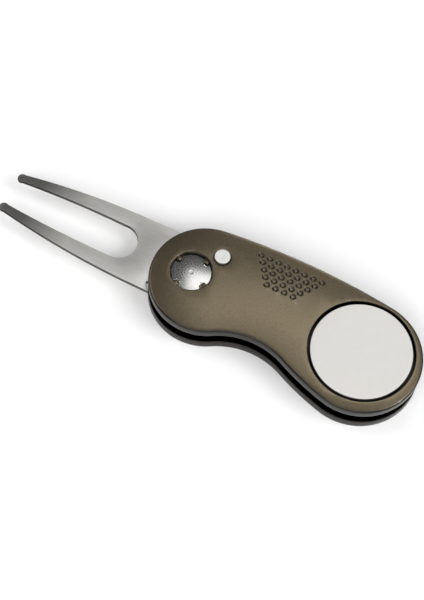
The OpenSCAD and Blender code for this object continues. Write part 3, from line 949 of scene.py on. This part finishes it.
def fork_loops():
    """Outer loop and holes of the fork's flat underside, read from the CAD mesh."""
    mesh = frame["nodes"]["fork"].data
    low = mm_box("fork")[0][2]
    soup = bmesh.new()
    soup.from_mesh(mesh)
    bmesh.ops.remove_doubles(soup, verts=soup.verts, dist=1e-6)
    under = {f for f in soup.faces if all(abs(v.co.z / MM - low) < 0.01 for v in f.verts)}
    rim = [e for e in soup.edges if sum(f in under for f in e.link_faces) == 1]
    ways = {}
    for e in rim:
        for one, other in (e.verts, reversed(e.verts)):
            ways.setdefault(one, []).append(other)
    loops, seen = [], set()
    for start in ways:
        if start in seen:
            continue
        loop, at = [start], start
        seen.add(start)
        while True:
            onward = [v for v in ways[at] if v not in seen]
            if not onward:
                break
            at = onward[0]
            seen.add(at)
            loop.append(at)
        loops.append(np.array([[v.co.x / MM, v.co.y / MM] for v in loop]))
    soup.free()
    loops.sort(key=lambda loop: -np.ptp(loop[:, 0]))
    return loops


def set_in(loop, amount, solid_inside):
    """The loop moved into the solid by amount, along the average normal of its edges."""
    area = np.sum(loop[:, 0] * np.roll(loop[:, 1], -1) - loop[:, 1] * np.roll(loop[:, 0], -1))
    side = (1 if area > 0 else -1) * (1 if solid_inside else -1)
    ahead = np.roll(loop, -1, axis=0) - loop
    behind = loop - np.roll(loop, 1, axis=0)
    ahead /= np.linalg.norm(ahead, axis=1)[:, None]
    behind /= np.linalg.norm(behind, axis=1)[:, None]
    along = ahead + behind
    along /= np.maximum(np.linalg.norm(along, axis=1)[:, None], 0.3)
    return loop + side * amount * np.stack([-along[:, 1], along[:, 0]], axis=1)


def make_fork(material):
    """The blade on the CAD outline, with eased edges and prongs ground down towards their tips."""
    shape = Shape()
    low, high = mm_box("fork")
    loops = fork_loops()
    run = GRIND_X - low[0]

    def ground(points):
        share = np.clip((GRIND_X - points[:, 0]) / run, 0, 1)
        return high[2] - GRIND_DROP * share**2

    inner = [set_in(loop, FORK_EASE[0][0], i == 0) for i, loop in enumerate(loops)]
    xs = np.arange(low[0] + 0.5, GRIND_X + 2, 1.0)
    grid = np.stack(np.meshgrid(xs, np.arange(low[1], high[1], 0.8)), axis=-1).reshape(-1, 2)
    grid = grid[inside(grid, inner[0])]
    grid = grid[distance(grid, inner[0]) > 0.3]
    shape.sheet(inner[0], inner[1:], ground, (), grid)
    shape.sheet(inner[0], inner[1:], low[2])
    for i, loop in enumerate(loops):
        rings = [(set_in(loop, back, i == 0), drop) for back, drop in FORK_EASE]
        top = [(plan, ground(inner[i]) - drop) for plan, drop in rings]
        bottom = [(plan, low[2] + drop) for plan, drop in rings]
        shape.tube(top + bottom[::-1])
    return finish_piece("fork_blade", shape, material, "fork", ["fork"], sharp=30)


def dress_cad_nodes(materials, record):
    """Gives the CAD nodes that stay their material and smooth shading."""
    slots = {part["node"]: part["material_slot"] for part in record["subparts"]}
    for name, node in frame["nodes"].items():
        if node.hide_render:
            continue
        node.data.materials.clear()
        node.data.materials.append(materials[slots[name]])
        node.data.shade_smooth()
        node.data.set_sharp_from_angle(angle=math.radians(35))


# ---------------------------------------------------------------- stage


def make_camera():
    camera = bpy.data.objects.new("camera", bpy.data.cameras.new("camera"))
    bpy.context.scene.collection.objects.link(camera)
    camera.data.lens = CAMERA_LENS
    camera.data.sensor_width = 36
    camera.data.clip_start = 0.01
    forward = Vector(CAMERA_FORWARD).normalized()
    right = forward.cross(Vector(CAMERA_UP)).normalized()
    up = right.cross(forward)
    turn = Matrix((right, up, -forward)).transposed().to_4x4()
    camera.matrix_world = Matrix.Translation(CAMERA_PLACE) @ turn
    bpy.context.scene.camera = camera


def make_floor():
    mesh = bpy.data.meshes.new("floor")
    reach = 4.0
    corners = [(-reach, -reach, 0), (reach, -reach, 0), (reach, reach, 0), (-reach, reach, 0)]
    mesh.from_pydata(corners, [], [(0, 1, 2, 3)])
    floor = bpy.data.objects.new("floor", mesh)
    bpy.context.scene.collection.objects.link(floor)
    material, tree, shader = new_material("pale_floor")
    speck = noise(tree, (300, 300, 300), 3.0)
    tree.links.new(mix_colours(tree, speck, (0.9, 0.9, 0.9), (0.92, 0.92, 0.92)), shader.inputs["Base Color"])
    shader.inputs["Roughness"].default_value = 0.8
    shader.inputs["Specular IOR Level"].default_value = 0.2
    mesh.materials.append(material)


def softbox(name, place, aim, size, radiance, turn=0):
    """An area light of that radiance, facing the point aim and turned about its axis in degrees."""
    lamp = bpy.data.lights.new(name, "AREA")
    lamp.shape = "RECTANGLE"
    lamp.size, lamp.size_y = size
    lamp.energy = radiance * math.pi * size[0] * size[1]
    holder = bpy.data.objects.new(name, lamp)
    bpy.context.scene.collection.objects.link(holder)
    holder.location = place
    facing = Vector(aim) - Vector(place)
    spin = Quaternion((0, 0, 1), math.radians(turn))
    holder.rotation_euler = (facing.to_track_quat("-Z", "Y") @ spin).to_euler()
    holder.visible_camera = False


def make_lights():
    softbox("key_light", (0.035, 0.135, 0.34), (0.035, 0.135, 0.0), (0.2, 0.12), 1.5, 18)
    softbox("blade_light", (-0.075, 0.66, 0.34), (-0.03, 0.0, 0.0), (0.045, 0.3), 11.5)
    softbox("front_light", (0.1, -0.9, 0.75), (0.0, 0.0, 0.0), (1.2, 0.9), 3.2)
    softbox("left_light", (-0.9, -0.1, 0.7), (0.0, 0.0, 0.0), (0.8, 0.8), 2.0)
    softbox("right_light", (0.9, 0.0, 0.7), (0.0, 0.0, 0.0), (0.8, 0.8), 5.0)
    world = bpy.data.worlds.new("studio")
    bpy.context.scene.world = world
    world.use_nodes = True
    tree = world.node_tree
    tree.nodes.clear()
    output = tree.nodes.new("ShaderNodeOutputWorld")
    background = tree.nodes.new("ShaderNodeBackground")
    tree.links.new(background.outputs[0], output.inputs["Surface"])
    place = tree.nodes.new("ShaderNodeTexCoord")
    parts = tree.nodes.new("ShaderNodeSeparateXYZ")
    tree.links.new(place.outputs["Generated"], parts.inputs[0])
    tree.links.new(remap(tree, parts.outputs["Z"], 0.2, 0.5, 0.9, 0.08), background.inputs["Strength"])


# ---------------------------------------------------------------- scene

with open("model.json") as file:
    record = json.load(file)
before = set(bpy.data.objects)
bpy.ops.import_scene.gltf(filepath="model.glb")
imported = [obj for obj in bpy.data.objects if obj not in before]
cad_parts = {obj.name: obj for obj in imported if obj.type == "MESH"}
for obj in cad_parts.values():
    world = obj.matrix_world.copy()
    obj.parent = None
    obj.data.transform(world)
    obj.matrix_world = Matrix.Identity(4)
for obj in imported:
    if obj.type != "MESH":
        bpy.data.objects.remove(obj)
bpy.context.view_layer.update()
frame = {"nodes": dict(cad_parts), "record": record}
bpy.context.scene.view_settings.view_transform = "Standard"
make_camera()
make_floor()
make_lights()
materials = make_materials()
arcs = handle_arcs()
make_front_shell(arcs, materials["bronze_anodised"])
make_back_shell(arcs, materials["bronze_anodised"])
make_marker(materials["satin_marker"])
make_button(materials["satin_button"])
make_cap(materials["turned_cap"])
make_fork(materials["brushed_blade"])
make_fork_spring(materials["spring_wire"])
make_button_spring(materials["spring_wire"])
for number in (1, 2, 3):
    make_screw(number, materials["black_screw"])
dress_cad_nodes(materials, frame["record"])
